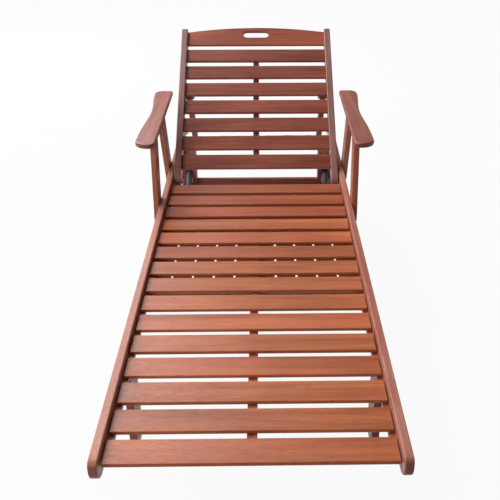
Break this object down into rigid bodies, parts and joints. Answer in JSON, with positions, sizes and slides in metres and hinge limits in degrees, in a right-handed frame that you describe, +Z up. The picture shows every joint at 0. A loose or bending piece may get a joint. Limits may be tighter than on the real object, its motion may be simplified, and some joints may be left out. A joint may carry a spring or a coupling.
{
  "type": "sun lounger",
  "caption": "Slatted hardwood sun lounger with a reclining back on a folding prop, paddle armrests, a sliding tray under the seat and wheels under the head end.",
  "frame": {"origin": "on the floor under the middle of the lounger's overall box, with the back at its stored angle", "axes": "+Y from the foot end to the head end, +X to the right seen from the foot end, +Z up"},
  "size_m": [0.707, 1.9164, 0.6603],
  "materials": {
    "seat_wood": "oiled",
    "back_wood": "oiled",
    "arm_wood": "oiled",
    "frame_wood": "oiled",
    "wheel_wood": "oiled",
    "tyre": "matt",
    "steel": "satin",
    "hardware": "satin",
    "cap_plastic": "matt"
  },
  "bodies": {
    "base": {"arm_dowels": "arm_wood", "arm_posts_front": "arm_wood", "arm_posts_rear": "arm_wood", "armrest_left": "arm_wood", "armrest_right": "arm_wood", "axle": "steel", "axle_caps": "cap_plastic", "frame_bolts": "hardware", "front_leg_left": "frame_wood", "front_leg_right": "frame_wood", "front_stretcher": "frame_wood", "hinge_bolts": "hardware", "ledger_left": "frame_wood", "ledger_right": "frame_wood", "rail_left": "frame_wood", "rail_right": "frame_wood", "rear_leg_outer_left": "frame_wood", "rear_leg_outer_right": "frame_wood", "rear_legs_inner": "frame_wood", "rear_stretcher": "frame_wood", "seat_batten": "frame_wood", "seat_cross_rail": "frame_wood", "seat_slat_01": "seat_wood", "seat_slat_02": "seat_wood", "seat_slat_03": "seat_wood", "seat_slat_04": "seat_wood", "seat_slat_05": "seat_wood", "seat_slat_06": "seat_wood", "seat_slat_07": "seat_wood", "seat_slat_08": "seat_wood", "seat_slat_09": "seat_wood", "seat_slat_10": "seat_wood", "seat_slat_11": "seat_wood", "seat_slat_12": "seat_wood", "seat_slat_13": "seat_wood", "seat_slat_14": "seat_wood", "seat_slat_15": "seat_wood", "slat_screws": "hardware", "tray_runners": "frame_wood", "wheel_bridges": "frame_wood"},
    "backrest": {"back_batten": "back_wood", "back_slat_1": "back_wood", "back_slat_2": "back_wood", "back_slat_3": "back_wood", "back_slat_4": "back_wood", "back_slat_5": "back_wood", "back_slat_6": "back_wood", "back_slat_7": "back_wood", "back_top_rail": "back_wood", "stile_left": "back_wood", "stile_right": "back_wood", "prop_bolts": "hardware"},
    "prop": {"prop_legs": "frame_wood", "prop_rod": "steel"},
    "tray": {"tray_slats": "frame_wood", "tray_battens": "frame_wood"},
    "wheel_left_body": {"wheel_left": "wheel_wood", "tyre_left": "tyre"},
    "wheel_right_body": {"wheel_right": "wheel_wood", "tyre_right": "tyre"}
  },
  "joints": [
    {"name": "back_recline", "type": "hinge", "parent": "base", "child": "backrest", "pos_m": [0, 0.3732, 0.27], "axis": [1, 0, 0], "range_deg": [-35.5, 6]},
    {"name": "prop_swing", "type": "hinge", "parent": "backrest", "child": "prop", "pos_m": [0, 0.67052, 0.46795], "axis": [1, 0, 0], "range_deg": [-13.4, 78.8]},
    {"name": "tray_slide", "type": "slide", "parent": "base", "child": "tray", "axis": [1, 0, 0], "range_m": [-0.3, 0.3]},
    {"name": "wheel_left_spin", "type": "hinge", "parent": "base", "child": "wheel_left_body", "pos_m": [-0.2547, 0.7157, 0.09], "axis": [1, 0, 0], "continuous": true},
    {"name": "wheel_right_spin", "type": "hinge", "parent": "base", "child": "wheel_right_body", "pos_m": [0.2547, 0.7157, 0.09], "axis": [1, 0, 0], "continuous": true}
  ],
  "couplings": [
    {"joint": "prop_swing", "follows": "back_recline", "ratio": -2.2163}
  ]
}
